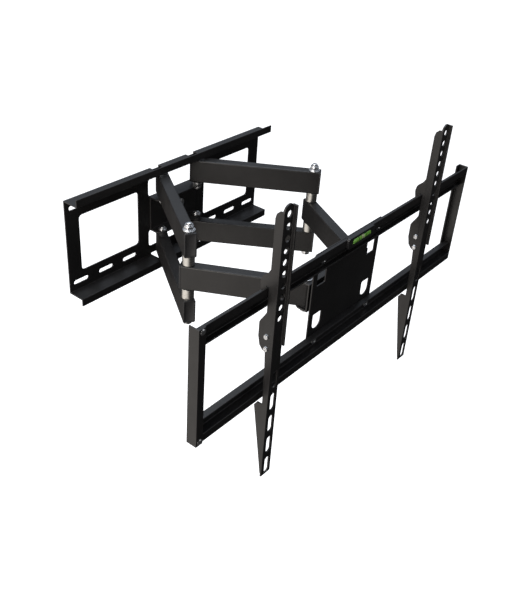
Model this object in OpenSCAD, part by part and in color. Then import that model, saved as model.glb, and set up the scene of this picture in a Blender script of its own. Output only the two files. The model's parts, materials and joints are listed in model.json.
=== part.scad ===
// Full motion wall mount for a television.
// The origin is the centre of the wall plate's back face. X runs to the right as
// seen from the front, the front faces -Y, and Z points up. All sizes in millimetres.

/* [Wall plate] */
// Width of the wall plate
plate_w = 436; // [425:1:560]
// Height of the wall plate over its two flanges
plate_h = 156; // [156:1:200]
// How far the flanges stand out from the wall
plate_flange_d = 29.5; // [29.5:0.5:36]
// Height of the lips on the flanges
plate_lip_h = 10.5; // [4:0.5:16]
// Sheet thickness of the wall plate
plate_t = 2; // [1.5:0.1:3]
// Distance from the plate's edge to the side windows
window_side = 25; // [20:1:60]
// Distance from the flanges to the side windows
window_edge = 32; // [28:1:40]
// Half of the width of the middle field between the side windows
window_inner = 76; // [72:1:90]
// Width of each post beside the middle windows
post_w = 22; // [14:1:26]
// Half of the height of the band that carries the pivot bracket
band_half = 30; // [30:0.5:33]
// Distance of the upper and lower edge of the middle windows from the centre
centre_top = 60; // [50:1:66]
// Corner radius of the windows
window_r = 6; // [1:0.5:10]
// Distance of each row of lag slots from its flange
slot_row = 15.5; // [12:0.5:20]
// Distance of the outermost slot's centre from the plate's edge
slot_edge = 22; // [19:0.5:30]
// Distance between the centres of neighbouring lag slots
slot_pitch = 49.5; // [34:0.5:55]
// Length of a lag slot
slot_len = 28; // [14:1:32]
// Width of a lag slot
slot_w = 7; // [6:0.5:10]
// Width of the notch in each flange above a wall pivot
notch_w = 18; // [17.5:0.5:22]

/* [Pivot bracket] */
// Distance of each wall pivot from the middle
wall_pivot_x = 40; // [36:0.5:44]
// Distance of the wall pivots from the wall
wall_pivot_d = 19.5; // [18:0.5:20]
// Height of the pivot bracket
pivot_bracket_h = 60; // [56:1:60]
// How far the pivot bracket stands out from the wall
pivot_bracket_d = 26; // [25.5:0.5:28]
// Sheet thickness of the pivot bracket
pivot_bracket_t = 2.5; // [2:0.5:4]
// Height of the lock nuts inside the pivot bracket
wall_nut_t = 5; // [4:0.5:7]
// Length of the washers and sleeves between the bracket and the tubes
wall_sleeve_len = 4.4; // [4:0.1:8]

/* [Arms] */
// Distance from the wall pivot to the elbow
first_link = 190; // [160:1:240]
// How much shorter the second link is, which is also the offset of the pivots
link_offset = 22; // [16:1:26]
// Angle of the first link from the wall in the pose shown
rest_angle = 56.03; // [20:0.01:70]
// Height of the arm tubes
tube_h = 38; // [30:1:40]
// Width of the arm tubes
tube_w = 18; // [18:0.5:20]
// Wall thickness of the arm tubes
tube_t = 1.8; // [1.2:0.1:2.5]
// How far a tube's plugged end reaches past its pivot
tube_end = 11.5; // [11.5:0.1:12.5]
// Thickness of the face of an end plug
plug_t = 2.5; // [1.5:0.1:2.5]
// Diameter of the spacers at the elbow
elbow_spacer_d = 18; // [14:0.5:20]
// Diameter of the pivot bolts
bolt_d = 8; // [6:0.5:8.5]
// Wall of the plastic bushes
bush_wall = 1.5; // [1:0.1:2]
// Thickness of a bush flange
bush_flange_t = 1; // [0.6:0.1:1.5]
// Running clearance of a pivot, on the radius
run_fit = 0.05; // [0.03:0.01:0.1]
// Axial clearance at each sliding face
axial_gap = 0.1; // [0.05:0.01:0.3]
// Extra clearance on the radius in the right tube at the head
closing_gap = 2; // [1.8:0.1:2.5]

/* [Head] */
// Distance of the frame's front from the head pivots
head_to_front = 37.4; // [37:0.1:44]
// Sheet thickness of the head yoke
yoke_t = 2.5; // [2:0.1:3]
// Radius of the yoke ears round the pivots
ear_r = 12; // [11:0.5:13]
// Distance of the tilt axis from the head pivots
tilt_axis_d = 4.4; // [3:0.1:6]
// Width of the tilt plate
tilt_plate_w = 164; // [150:1:190]
// Sheet thickness of the tilt plate
tilt_plate_t = 2; // [1.5:0.1:2.5]
// Distance of each tilt lug from the middle
tilt_lug_x = 30; // [24:0.5:34]
// Half of the height of the tilt lugs
tilt_lug_r = 9; // [8:0.5:10]
// Diameter of the tilt bolt
tilt_bolt_d = 6; // [5:0.5:6]

/* [Television frame] */
// Width of the television frame
frame_w = 650; // [560:1:780]
// Height of the television frame over the rail lips
frame_h = 174; // [168:1:190]
// Sheet thickness of rails and end bars
rail_t = 2; // [1.5:0.1:2.2]
// Depth of the rails
rail_d = 14; // [12:0.5:15]
// Height of a rail without its lip
rail_h = 21.5; // [18:0.5:24]
// Height of the front lip of a rail
rail_lip = 10; // [8:0.5:11]
// Depth of the inner flange of a rail
rail_inner_d = 10; // [6:0.5:11]
// Width of the end bar's flange
end_flange = 12; // [10:0.5:16]
// Distance of the frame bolts from the middle
frame_bolt_x = 68; // [60:0.5:76]
// Length of the level's vial
vial_len = 43; // [30:1:50]
// Diameter of the level's vial
vial_d = 9; // [6:0.5:10]

/* [Television brackets] */
// Left bracket's place along the rails
left_bracket_x = -201.7; // [-280:0.1:-130]
// Right bracket's place along the rails
right_bracket_x = 170.4; // [110:0.1:270]
// Height of the bracket above the frame's middle
bracket_top = 200; // [196:1:230]
// Depth of the bracket below the frame's middle
bracket_bottom = 220; // [219:1:260]
// Width of the bracket's front flange
bracket_flange = 20; // [18:0.5:24]
// Sheet thickness of the brackets
bracket_t = 2.5; // [2:0.1:3]
// Distance of the bracket's front from the frame's front
bracket_front = 14; // [13:0.5:18]
// Depth of the stiffening lip on the flange
bracket_lip = 4.5; // [2:0.5:6]
// Diameter of the screw holes in the brackets
tv_hole_d = 9; // [7:0.5:9.5]
// Distance between the screw holes
tv_hole_pitch = 16; // [14:0.5:17]
// Number of round screw holes
tv_hole_n = 10; // [6:1:10]
// Distance of the top screw hole from the bracket's top
tv_hole_top = 13; // [10:0.5:13]
// Distance of the screw holes from the bracket's web
tv_hole_x = 11; // [9:0.5:12]
// Length of the screw slots below the holes
tv_slot_len = 28; // [16:0.5:32]
// Distance between the centres of the screw slots
tv_slot_pitch = 38; // [36:0.5:39]
// Number of screw slots
tv_slot_n = 5; // [3:1:5]
// Largest distance between the upper and lower screws of a television
tv_screw_reach = 400; // [380:1:400]

/* [Hidden] */
$fn = 48;
eps = 0.01;            // runs a cut past the face it opens
cut = 200;             // longer than anything that it cuts through
black = "#1c1d20";
zinc = "#c9ccd0";
nylon = "#2b2c2e";

// pivots in plan: each link's angle is measured from the wall
second_link = first_link - link_offset;
head_pivot_x = wall_pivot_x + link_offset;
elbow_x = wall_pivot_x + first_link * cos(rest_angle);
elbow_y = -wall_pivot_d - first_link * sin(rest_angle);
second_angle = acos((elbow_x - head_pivot_x) / second_link);
head_y = elbow_y - second_link * sin(second_angle);
front_y = head_y - head_to_front;          // front plane of the television frame
tilt_y = head_y - tilt_axis_d;             // tilt axis, along X at Z = 0

// levels of the tubes
wall_gap = wall_sleeve_len + axial_gap + bush_flange_t;
tube_low = pivot_bracket_h / 2 + wall_gap; // underside of the upper tubes
tube_mid = tube_low + tube_h / 2;          // middle height of the upper tubes
tube_top = tube_low + tube_h;
ear_z = tube_h / 2 + bush_flange_t + axial_gap;

// bolts, washers and nuts
washer_t = 1.5;
washer_r = bolt_d / 2 + 4;
nut_af = bolt_d * 1.6;                     // size across the flats of a hexagon
nut_t = bolt_d * 0.8;
head_t = bolt_d * 0.6;
fixed_fit = 0.1;                           // clearance of a bolt that doesn't turn, on the radius
bush_r = bolt_d / 2 + run_fit + bush_wall;
bush_flange_r = tube_w / 2 - 0.5;
bush_len = tube_t + 3;
bracket_bolt_d = 8;
bracket_bolt_x = 14;
bracket_bolt_af = 13;
frame_bolt_d = 6;
frame_nut_t = 4.5;
low_head_t = 5;                            // height of a low bolt head
tilt_bolt_af = tilt_bolt_d * 5 / 3;
tilt_washer_t = 1;

// television frame: v is height from the middle, w is depth forward of front_y
rail_outer = frame_h / 2 - rail_lip;       // outer flange of a rail
rail_inner = rail_outer - rail_h;          // inner flange of a rail
rail_mid = (rail_outer + rail_inner) / 2;
rail_len = frame_w - 2 * rail_t;
plate_front = -rail_d;                     // the tilt plate lies on the rails' backs
plate_back = plate_front - tilt_plate_t;
tilt_w = tilt_axis_d - head_to_front;
yoke_front = -24.5;                        // front of the yoke's web
rivet_r = 2.4;
rivet_in = 5;                              // distance of the rivets from the rails' ends
lip_rivet_z = frame_h / 2 - rail_lip / 2;
tv_slot_low = bracket_top - tv_hole_top - tv_screw_reach + (tv_slot_len - tv_hole_d) / 2;

// ---------- shapes that repeat ----------

module rounded_rect(w, h, r) {
    square([w - 2 * r, h], center = true);
    square([w, h - 2 * r], center = true);
    for (x = [-1, 1], y = [-1, 1])
        translate([x * (w / 2 - r), y * (h / 2 - r)]) circle(r = r);
}

module slot(len, wid) {
    square([len - wid, wid], center = true);
    for (x = [-1, 1]) translate([x * (len - wid) / 2, 0]) circle(d = wid);
}

// sheet bent along a line of points, with round bends
module bent_strip(path, t) {
    for (i = [0:len(path) - 2]) {
        a = path[i];
        b = path[i + 1];
        run = norm(b - a);
        translate(a)
            rotate(atan2(b[1] - a[1], b[0] - a[0]))
                translate([0, -t / 2]) square([run, t]);
    }
    for (i = [1:len(path) - 2]) translate(path[i]) circle(d = t);
}

// profile drawn in (Y, Z) and run along X, centred
module along_x(len) {
    rotate([90, 0, 90]) linear_extrude(len, center = true) children();
}

// outline drawn in (X, Z) and run backward along +Y from y
module along_y(y, len) {
    translate([0, y + len, 0]) rotate([90, 0, 0]) linear_extrude(len) children();
}

// plate drawn in plan (X, Y) from height z
module along_z(z, len) {
    translate([0, 0, z]) linear_extrude(len) children();
}

module hexagon(af) {
    circle(d = af / cos(30), $fn = 6);
}

module disc(r, len, hole_r) {
    difference() {
        cylinder(r = r, h = len);
        translate([0, 0, -eps]) cylinder(r = hole_r, h = len + 2 * eps);
    }
}

// hexagon head with a washer face, standing on z = 0 and pointing up
module hex_head(af, len) {
    face = len / 6;
    cylinder(d = af, h = face);
    translate([0, 0, face]) intersection() {
        linear_extrude(len - face) hexagon(af);
        union() {
            cylinder(d = af / cos(30), h = len - face - len / 5);
            translate([0, 0, len - face - len / 5])
                cylinder(d1 = af / cos(30), d2 = af * 0.86, h = len / 5);
        }
    }
}

// lock nut: hexagon below, round collar above, standing on z = 0
module lock_nut(d, af, len) {
    collar = len * 0.3;
    difference() {
        union() {
            linear_extrude(len - collar) hexagon(af);
            cylinder(d = af * 0.86, h = len);
        }
        translate([0, 0, -eps]) cylinder(d = d + 2 * fixed_fit, h = len + 2 * eps);
    }
}

module both_sides() {
    children();
    mirror([1, 0, 0]) children();
}

module above_and_below() {
    children();
    mirror([0, 0, 1]) children();
}

// ---------- wall plate ----------

module plate_profile() {
    half = plate_h / 2 - plate_t / 2;
    front = -plate_flange_d + plate_t / 2;
    tip = plate_h / 2 + plate_lip_h;
    bent_strip([[front, tip], [front, half], [-plate_t / 2, half],
        [-plate_t / 2, -half], [front, -half], [front, -tip]], plate_t);
}

module plate_openings() {
    side_w = plate_w / 2 - window_side - window_inner;
    centre_w = 2 * (window_inner - post_w);
    centre_h = centre_top - band_half;
    for (s = [-1, 1]) {
        translate([s * (window_inner + side_w / 2), 0])
            rounded_rect(side_w, plate_h - 2 * window_edge, window_r);
        translate([0, s * (band_half + centre_h / 2)])
            rounded_rect(centre_w, centre_h, window_r);
    }
    for (x = [-1, 1], z = [-1, 1], i = [0:2])
        translate([x * (plate_w / 2 - slot_edge - i * slot_pitch), z * (plate_h / 2 - slot_row)])
            slot(slot_len, slot_w);
}

module bracket_bolt_places() {
    for (x = [-1, 1]) translate([x * bracket_bolt_x, 0]) children();
}

module wall_plate() {
    color(black) difference() {
        along_x(plate_w) plate_profile();
        along_y(-plate_t - eps, plate_t + 2 * eps) {
            plate_openings();
            bracket_bolt_places() circle(r = bracket_bolt_d / 2 + fixed_fit);
        }
        // notches that clear the ends of the pivot bolts
        for (x = [-1, 1], z = [-1, 1])
            translate([x * wall_pivot_x - notch_w / 2, -plate_flange_d + plate_t,
                    z * plate_h / 2 - 2 * plate_t])
                cube([notch_w, plate_flange_d, 4 * plate_t]);
    }
}

// ---------- pivot bracket ----------

module bracket_plan() {
    half = wall_pivot_x + 12;
    chamfer = 7;
    polygon([[-half, -plate_t], [-half, -pivot_bracket_d + chamfer],
        [-half + chamfer, -pivot_bracket_d], [half - chamfer, -pivot_bracket_d],
        [half, -pivot_bracket_d + chamfer], [half, -plate_t]]);
}

module pivot_bracket() {
    height = pivot_bracket_h;
    inner = height - 2 * pivot_bracket_t;
    color(black) difference() {
        along_z(-height / 2, height) bracket_plan();
        // the bracket is a channel that opens forward between its two shelves
        translate([-cut / 2, -cut - plate_t - pivot_bracket_t, -inner / 2])
            cube([cut, cut, inner]);
        both_sides() translate([wall_pivot_x, -wall_pivot_d, -height])
            cylinder(r = bolt_d / 2 + fixed_fit, h = 2 * height);
        along_y(-plate_t - pivot_bracket_t - eps, pivot_bracket_t + 2 * eps)
            bracket_bolt_places() circle(r = bracket_bolt_d / 2 + fixed_fit);
    }
}

module bracket_bolts() {
    grip = plate_t + pivot_bracket_t - 2 * fixed_fit;    // stops short of the wall
    color(zinc) bracket_bolt_places()
        translate([0, -plate_t - pivot_bracket_t, 0]) rotate([90, 0, 0]) {
            translate([0, 0, -grip]) cylinder(d = bracket_bolt_d, h = grip);
            hex_head(bracket_bolt_af, low_head_t);
        }
}

// ---------- wall pivots ----------

wall_bolt_seat = tube_top + bush_flange_t + axial_gap;
shelf_in = pivot_bracket_h / 2 - pivot_bracket_t;          // inner face of the bracket's shelves

// four pivot bolts, each from the outer end of a tube into the bracket
module wall_bolts() {
    tip = shelf_in - wall_nut_t - washer_t;
    color(zinc) both_sides() above_and_below() translate([wall_pivot_x, -wall_pivot_d, 0]) {
        translate([0, 0, wall_bolt_seat]) hex_head(nut_af - 1, head_t - 1);
        translate([0, 0, tip]) cylinder(d = bolt_d, h = wall_bolt_seat - tip + eps);
    }
}

module wall_lock_nuts() {
    color(zinc) both_sides() above_and_below()
        translate([wall_pivot_x, -wall_pivot_d, shelf_in])
            mirror([0, 0, 1]) lock_nut(bolt_d, nut_af, wall_nut_t);
}

module wall_washers() {
    color(zinc) both_sides() translate([wall_pivot_x, -wall_pivot_d, pivot_bracket_h / 2])
        disc(tube_w / 2 - 1, wall_sleeve_len, bolt_d / 2 + fixed_fit);
}

module wall_sleeves() {
    color(nylon) both_sides() mirror([0, 0, 1])
        translate([wall_pivot_x, -wall_pivot_d, pivot_bracket_h / 2])
            disc(tube_w / 2 - 1.5, wall_sleeve_len, bolt_d / 2 + fixed_fit);
}

// ---------- arms: the left arm is drawn, the right arm mirrors it ----------

// plan of a tube from pivot to pivot; at the head its end is closed and round
module tube_plan(run, half, past, head_end) {
    translate([-past, -half]) square([run + past + (head_end ? 0 : past), 2 * half]);
    if (head_end) translate([run, 0]) circle(r = half);
}

// rectangular tube from a to b in plan
module arm_tube(a, b, z, head_end) {
    run = norm(b - a);
    past = tube_end - plug_t;
    translate([a[0], a[1], z]) rotate(atan2(b[1] - a[1], b[0] - a[0])) difference() {
        translate([0, 0, -tube_h / 2])
            linear_extrude(tube_h) tube_plan(run, tube_w / 2, past, head_end);
        translate([0, 0, -tube_h / 2 + tube_t])
            linear_extrude(tube_h - 2 * tube_t) tube_plan(run, tube_w / 2 - tube_t, past + eps, head_end);
    }
}

// plug in the end of a tube that runs from the pivot at to the pivot other
module end_plug(at, other, z) {
    corner = plug_t / 2.5;               // stays within the face, clear of the tube
    depth = 3;
    play = tube_t + fixed_fit;
    face = tube_end - plug_t;
    color(nylon) translate([at[0], at[1], z])
        rotate(atan2(at[1] - other[1], at[0] - other[0])) {
            translate([face, 0, -tube_h / 2]) linear_extrude(tube_h) {
                translate([0, -tube_w / 2]) square([plug_t - corner, tube_w]);
                translate([0, -tube_w / 2 + corner]) square([plug_t, tube_w - 2 * corner]);
                for (y = [-1, 1])
                    translate([plug_t - corner, y * (tube_w / 2 - corner)]) circle(r = corner);
            }
            translate([face - depth, -tube_w / 2 + play, -tube_h / 2 + play])
                cube([depth + eps, tube_w - 2 * play, tube_h - 2 * play]);
        }
}

module bore(at, r) {
    translate([at[0], at[1], -cut / 2]) cylinder(r = r, h = cut);
}

wall_at = [-wall_pivot_x, -wall_pivot_d];
elbow_at = [-elbow_x, elbow_y];
head_at = [-head_pivot_x, head_y];

module first_tube(side) {
    color(black) difference() {
        arm_tube(wall_at, elbow_at, side * tube_mid, false);
        bore(wall_at, bush_r);
        bore(elbow_at, bolt_d / 2 + fixed_fit);
    }
}

module second_tube(head_r) {
    color(black) difference() {
        arm_tube(elbow_at, head_at, 0, true);
        bore(elbow_at, bush_r);
        bore(head_at, head_r);
    }
}

module first_plugs() {
    for (side = [-1, 1]) {
        end_plug(wall_at, elbow_at, side * tube_mid);
        end_plug(elbow_at, wall_at, side * tube_mid);
    }
}

module middle_plug() {
    end_plug(elbow_at, head_at, 0);
}

// flanged bush whose flange lies on the outside of a tube at height z, pointing up
module bush(at, z, hole_r) {
    outer = hole_r + bush_wall;
    color(nylon) translate([at[0], at[1], z]) difference() {
        union() {
            cylinder(r = max(bush_flange_r, outer + 0.5), h = bush_flange_t);
            translate([0, 0, -bush_len]) cylinder(r = outer, h = bush_len + eps);
        }
        translate([0, 0, -bush_len - eps])
            cylinder(r = hole_r, h = bush_len + bush_flange_t + 3 * eps);
    }
}

module wall_bushes() {
    above_and_below() {
        bush(wall_at, tube_top, bolt_d / 2 + run_fit);
        translate([0, 0, 2 * tube_mid]) mirror([0, 0, 1])
            bush(wall_at, tube_top, bolt_d / 2 + run_fit);
    }
}

module elbow_bushes() {
    above_and_below() bush(elbow_at, tube_h / 2, bolt_d / 2 + run_fit);
}

module head_bushes(extra) {
    above_and_below() bush(head_at, tube_h / 2, bolt_d / 2 + run_fit + extra);
}

module elbow_spacer(side) {
    low = tube_h / 2 + bush_flange_t + axial_gap;
    color(zinc) mirror([0, 0, side < 0 ? 1 : 0])
        translate([elbow_at[0], elbow_at[1], low])
            disc(elbow_spacer_d / 2, tube_low - low, bolt_d / 2 + fixed_fit);
}

module elbow_bolt() {
    color(zinc) translate([elbow_at[0], elbow_at[1], 0]) {
        translate([0, 0, -tube_top]) mirror([0, 0, 1]) {
            cylinder(r = washer_r, h = washer_t);
            translate([0, 0, washer_t]) hex_head(nut_af, head_t);
        }
        translate([0, 0, -tube_top]) cylinder(d = bolt_d, h = 2 * tube_top + 2 * washer_t + nut_t + 2);
    }
}

module elbow_nut() {
    color(zinc) translate([elbow_at[0], elbow_at[1], tube_top]) {
        disc(washer_r + 1, washer_t, bolt_d / 2 + fixed_fit);
        translate([0, 0, washer_t]) disc(washer_r, washer_t, bolt_d / 2 + fixed_fit);
        translate([0, 0, 2 * washer_t]) lock_nut(bolt_d, nut_af, nut_t);
    }
}

// ---------- head ----------

// point forward of the frame's front plane, as a place along Y
function at_w(w) = front_y - w;

module ear_plan() {
    for (s = [-1, 1]) translate([s * head_pivot_x, head_y]) circle(r = ear_r);
    reach = head_pivot_x + ear_r;
    translate([-reach, at_w(yoke_front)]) square([2 * reach, head_y - at_w(yoke_front)]);
    translate([-head_pivot_x + 6, at_w(yoke_front)])
        square([2 * head_pivot_x - 12, head_y - at_w(yoke_front) + 2]);
}

module yoke_lugs() {
    for (s = [-1, 1])
        translate([s * (tilt_inner + tilt_washer_t) - (s < 0 ? yoke_t : 0), 0, 0])
            rotate([90, 0, 90]) linear_extrude(yoke_t) {
                translate([tilt_y, 0]) circle(r = tilt_lug_r + 1);
                translate([at_w(yoke_front), -tilt_lug_r - 1])
                    square([tilt_y - at_w(yoke_front), 2 * tilt_lug_r + 2]);
            }
}

module tilt_lug_slots() {
    gap = 0.6;           // beside the lug
    swing = 5;           // above and below the lug, for the tilt
    for (s = [-1, 1])
        translate([s * tilt_lug_x - tilt_plate_t / 2 - gap, at_w(yoke_front) - eps, -tilt_lug_r - swing])
            cube([tilt_plate_t + 2 * gap, yoke_t + 2 * eps, 2 * (tilt_lug_r + swing)]);
}

module head_yoke() {
    reach = head_pivot_x + ear_r;
    top = ear_z + yoke_t;
    color(black) difference() {
        union() {
            above_and_below() along_z(ear_z, yoke_t) ear_plan();
            translate([-reach, at_w(yoke_front), -top]) cube([2 * reach, yoke_t, 2 * top]);
            yoke_lugs();
        }
        both_sides() bore(head_at, bolt_d / 2 + fixed_fit);
        tilt_lug_slots();
        translate([-cut / 2, tilt_y, 0]) rotate([0, 90, 0])
            cylinder(r = tilt_bolt_d / 2 + fixed_fit, h = cut);
    }
}

head_bolt_seat = ear_z + yoke_t;

module head_bolts() {
    color(zinc) both_sides() translate([head_at[0], head_at[1], 0]) {
        translate([0, 0, head_bolt_seat]) cylinder(r = washer_r, h = washer_t);
        translate([0, 0, head_bolt_seat + washer_t]) hex_head(nut_af - 1, head_t - 1);
        translate([0, 0, -head_bolt_seat - washer_t - nut_t])
            cylinder(d = bolt_d, h = 2 * head_bolt_seat + washer_t + nut_t + eps);
    }
}

module head_nuts() {
    color(zinc) both_sides() translate([head_at[0], head_at[1], -head_bolt_seat])
        mirror([0, 0, 1]) {
            disc(washer_r, washer_t, bolt_d / 2 + fixed_fit);
            translate([0, 0, washer_t]) lock_nut(bolt_d, nut_af - 1, nut_t - 1);
        }
}

// outline of the tilt plate with its windows, in (X, Z)
module tilt_plate_outline() {
    strip = 10;                              // sheet between a window and the edge
    win_w = 20;
    win_x = tilt_plate_w / 2 - strip - win_w / 2;
    corner = 2;
    high = [24, 50];                         // lower and upper edge of the upper windows
    low = [-39, -23];                        // the same for the lower ones, above their round foot
    difference() {
        rounded_rect(tilt_plate_w, 2 * rail_outer, corner + 1);
        for (s = [-1, 1], span = [high, low])
            translate([s * win_x, (span[0] + span[1]) / 2])
                rounded_rect(win_w, span[1] - span[0], corner);
        for (s = [-1, 1]) translate([s * win_x, low[0]]) circle(d = win_w);
        frame_bolt_places() circle(r = frame_bolt_d / 2 + fixed_fit);
    }
}

module frame_bolt_places() {
    for (x = [-1, 1], z = [-1, 1]) translate([x * frame_bolt_x, z * rail_mid]) children();
}

module tilt_plate() {
    color(black) difference() {
        union() {
            along_y(at_w(plate_front), tilt_plate_t) tilt_plate_outline();
            for (s = [-1, 1])
                translate([s * tilt_lug_x - tilt_plate_t / 2, 0, 0])
                    rotate([90, 0, 90]) linear_extrude(tilt_plate_t) {
                        translate([tilt_y, 0]) circle(r = tilt_lug_r);
                        translate([at_w(plate_front), -tilt_lug_r])
                            square([tilt_y - at_w(plate_front), 2 * tilt_lug_r]);
                    }
        }
        translate([-cut / 2, tilt_y, 0]) rotate([0, 90, 0])
            cylinder(r = tilt_bolt_d / 2 + run_fit, h = cut);
    }
}

tilt_inner = tilt_lug_x + tilt_plate_t / 2 + axial_gap;     // washers lie from here outward
tilt_outer = tilt_inner + tilt_washer_t + yoke_t;           // outer face of the yoke's lugs

module tilt_bolt() {
    color(zinc) translate([-tilt_outer, tilt_y, 0]) rotate([0, 90, 0]) {
        mirror([0, 0, 1]) hex_head(tilt_bolt_af, low_head_t - 1);
        cylinder(d = tilt_bolt_d, h = 2 * tilt_outer + tilt_bolt_d + 2);
    }
}

module tilt_nut() {
    color(zinc) translate([tilt_outer, tilt_y, 0]) rotate([0, 90, 0])
        lock_nut(tilt_bolt_d, tilt_bolt_af, tilt_bolt_d);
}

module tilt_washers() {
    color(nylon) both_sides() translate([tilt_inner, tilt_y, 0]) rotate([0, 90, 0])
        disc(tilt_bolt_d / 2 + 2.5, tilt_washer_t - eps, tilt_bolt_d / 2 + fixed_fit);
}

// ---------- television frame ----------

// rail profile in (Y, Z), drawn for the top rail
module rail_profile() {
    half = rail_t / 2;
    lip_w = front_y + half;
    back_w = front_y + rail_d - half;
    inner_w = back_w - rail_inner_d + half;
    bent_strip([[lip_w, frame_h / 2], [lip_w, rail_outer - half], [back_w, rail_outer - half],
        [back_w, rail_inner + half], [inner_w, rail_inner + half]], rail_t);
}

module rail() {
    color(black) difference() {
        along_x(rail_len) rail_profile();
        along_y(at_w(-rail_d) - rail_t - eps, rail_t + 2 * eps) {
            frame_bolt_places() circle(r = frame_bolt_d / 2 + fixed_fit);
            translate([rail_len / 2 - rivet_in, rail_mid]) circle(r = rivet_r + fixed_fit);
        }
        translate([-rail_len / 2 + rivet_in, front_y + rail_t + eps, frame_h / 2 - rail_lip / 2])
            rotate([90, 0, 0]) cylinder(r = rivet_r + fixed_fit, h = rail_t + 2 * eps);
    }
}

module top_rail() {
    rail();
}

module bottom_rail() {
    mirror([0, 0, 1]) rail();
}

// left end bar: its flange lies in front of the rails' lips
module end_bar(rivet_z) {
    outer = -frame_w / 2;
    color(black) difference() {
        union() {
            translate([outer, front_y - rail_t, -frame_h / 2]) cube([rail_t, rail_d + rail_t, frame_h]);
            translate([outer, front_y - rail_t, -frame_h / 2]) cube([end_flange, rail_t, frame_h]);
        }
        for (z = [-1, 1])
            translate([outer + rail_t + rivet_in, front_y + eps, z * rivet_z])
                rotate([90, 0, 0]) cylinder(r = rivet_r + fixed_fit, h = rail_t + 2 * eps);
    }
}

module left_end_bar() {
    end_bar(lip_rivet_z);
}

// the right end bar is the same bar turned half round, its flange behind the rails
module right_end_bar() {
    translate([0, 2 * front_y + rail_d, 0]) rotate([0, 0, 180]) end_bar(rail_mid);
}

module frame_bolts() {
    r = frame_bolt_d / 2;
    skirt = 1.2;
    grip = rail_t + tilt_plate_t + frame_nut_t;
    color(zinc) frame_bolt_axes(at_w(rail_t - rail_d)) {
        cylinder(r = 2 * r, h = skirt);
        translate([0, 0, skirt]) cylinder(r1 = r + 2, r2 = r + 0.6, h = 2 * skirt);
        translate([0, 0, -grip - fixed_fit]) cylinder(r = r, h = grip + 2 * fixed_fit);
    }
}

module frame_bolt_axes(y) {
    for (x = [-1, 1], z = [-1, 1])
        translate([x * frame_bolt_x, y, z * rail_mid]) rotate([90, 0, 0]) children();
}

module frame_nuts() {
    color(zinc) frame_bolt_axes(at_w(plate_back)) mirror([0, 0, 1])
        difference() {
            linear_extrude(frame_nut_t) hexagon(frame_bolt_d * 5 / 3);
            translate([0, 0, -eps])
                cylinder(r = frame_bolt_d / 2 + fixed_fit, h = frame_nut_t + 2 * eps);
        }
}

module rivet(grip) {
    head = 1.4;
    cylinder(r1 = rivet_r + 2, r2 = rivet_r, h = head);
    translate([0, 0, -grip]) cylinder(r = rivet_r, h = grip + eps);
    translate([0, 0, -grip]) mirror([0, 0, 1]) cylinder(r = rivet_r + head, h = 1);
}

module corner_rivets() {
    x = frame_w / 2 - rail_t - rivet_in;
    color(zinc) for (z = [-1, 1]) {
        translate([-x, front_y - rail_t, z * lip_rivet_z]) rotate([90, 0, 0]) rivet(2 * rail_t);
        translate([x, at_w(rail_t - rail_d), z * rail_mid]) rotate([90, 0, 0]) rivet(2 * rail_t);
    }
}

// ---------- level on the top rail ----------

level_z = frame_h / 2 - 6.5;
level_w = vial_len + 23;
level_d = 4;

module level_housing() {
    color(nylon) difference() {
        union() {
            along_y(front_y - level_d, level_d) translate([0, level_z]) rounded_rect(level_w, 16, 4);
            translate([-level_w / 2 + 4, front_y - level_d, frame_h / 2])
                cube([level_w - 8, level_d + rail_t + 1, 1.5]);
        }
        translate([-vial_len / 2, front_y - level_d - 1, level_z - vial_d / 2])
            cube([vial_len, level_d + 1 - 0.8, vial_d]);
    }
}

module level_vial() {
    color("#7fbf3a") translate([0, front_y - 0.8, level_z]) rotate([0, 90, 0])
        intersection() {
            cylinder(r = vial_d / 2 - 0.05, h = vial_len - 0.2, center = true);
            translate([-vial_d, -vial_d, -vial_len]) cube([2 * vial_d, vial_d, 2 * vial_len]);
        }
}

// ---------- television brackets ----------

web_top = bracket_top - 8;

// outline of the bracket's web in (w, v): w is depth forward of the frame's front, v is height
module web_outline() {
    lip_top = frame_h / 2;
    front = bracket_front;
    rear = 1.5;                          // rear edge beside the frame
    slack = 0.5;                         // between the web and the rails' lips
    hook = -rail_t - 0.8;                // rear side of the hook's slot, behind the lip
    lobe_w = -9.8;                       // rear edge of the lobe with the lock screws
    lobe_top = rail_inner - 18.5;
    lobe_low = 12;
    waist = -8.5;                        // the lobe ends here
    slim = 4;                            // rear edge between the lobe and the lower rail
    polygon([
        [front, web_top - 2], [front - 2, web_top], [front - 7, web_top - 1],
        [rear + 1.5, web_top - 5], [rear, web_top - 11],
        // hook over the top rail
        [rear, lip_top + 26], [-2, lip_top + 20], [-8.5, lip_top + 14], [-11, lip_top + 10.5],
        [-12.6, lip_top + 3], [-10.6, rail_outer + 1.5], [hook, rail_outer + 1.5],
        [hook, lip_top + 1], [slack, lip_top + 1],
        // front of the top rail, then the lobe with the lock screws
        [slack, rail_inner - 4], [-2, rail_inner - 9], [lobe_w + 1.8, lobe_top], [lobe_w, lobe_top - 4],
        [lobe_w, lobe_low], [-7, waist + 7.5], [-2, waist + 2], [rear + 1, waist],
        // narrow stretch, then the foot below the lower rail
        [slim, waist - 25.5], [slim + 1, -lip_top + 6], [slim + 1, -lip_top - 6], [-3.4, -lip_top - 6],
        [-8, -lip_top - 13], [front - 3.2, 6 - bracket_bottom], [front, 1 - bracket_bottom]
    ]);
}

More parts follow.
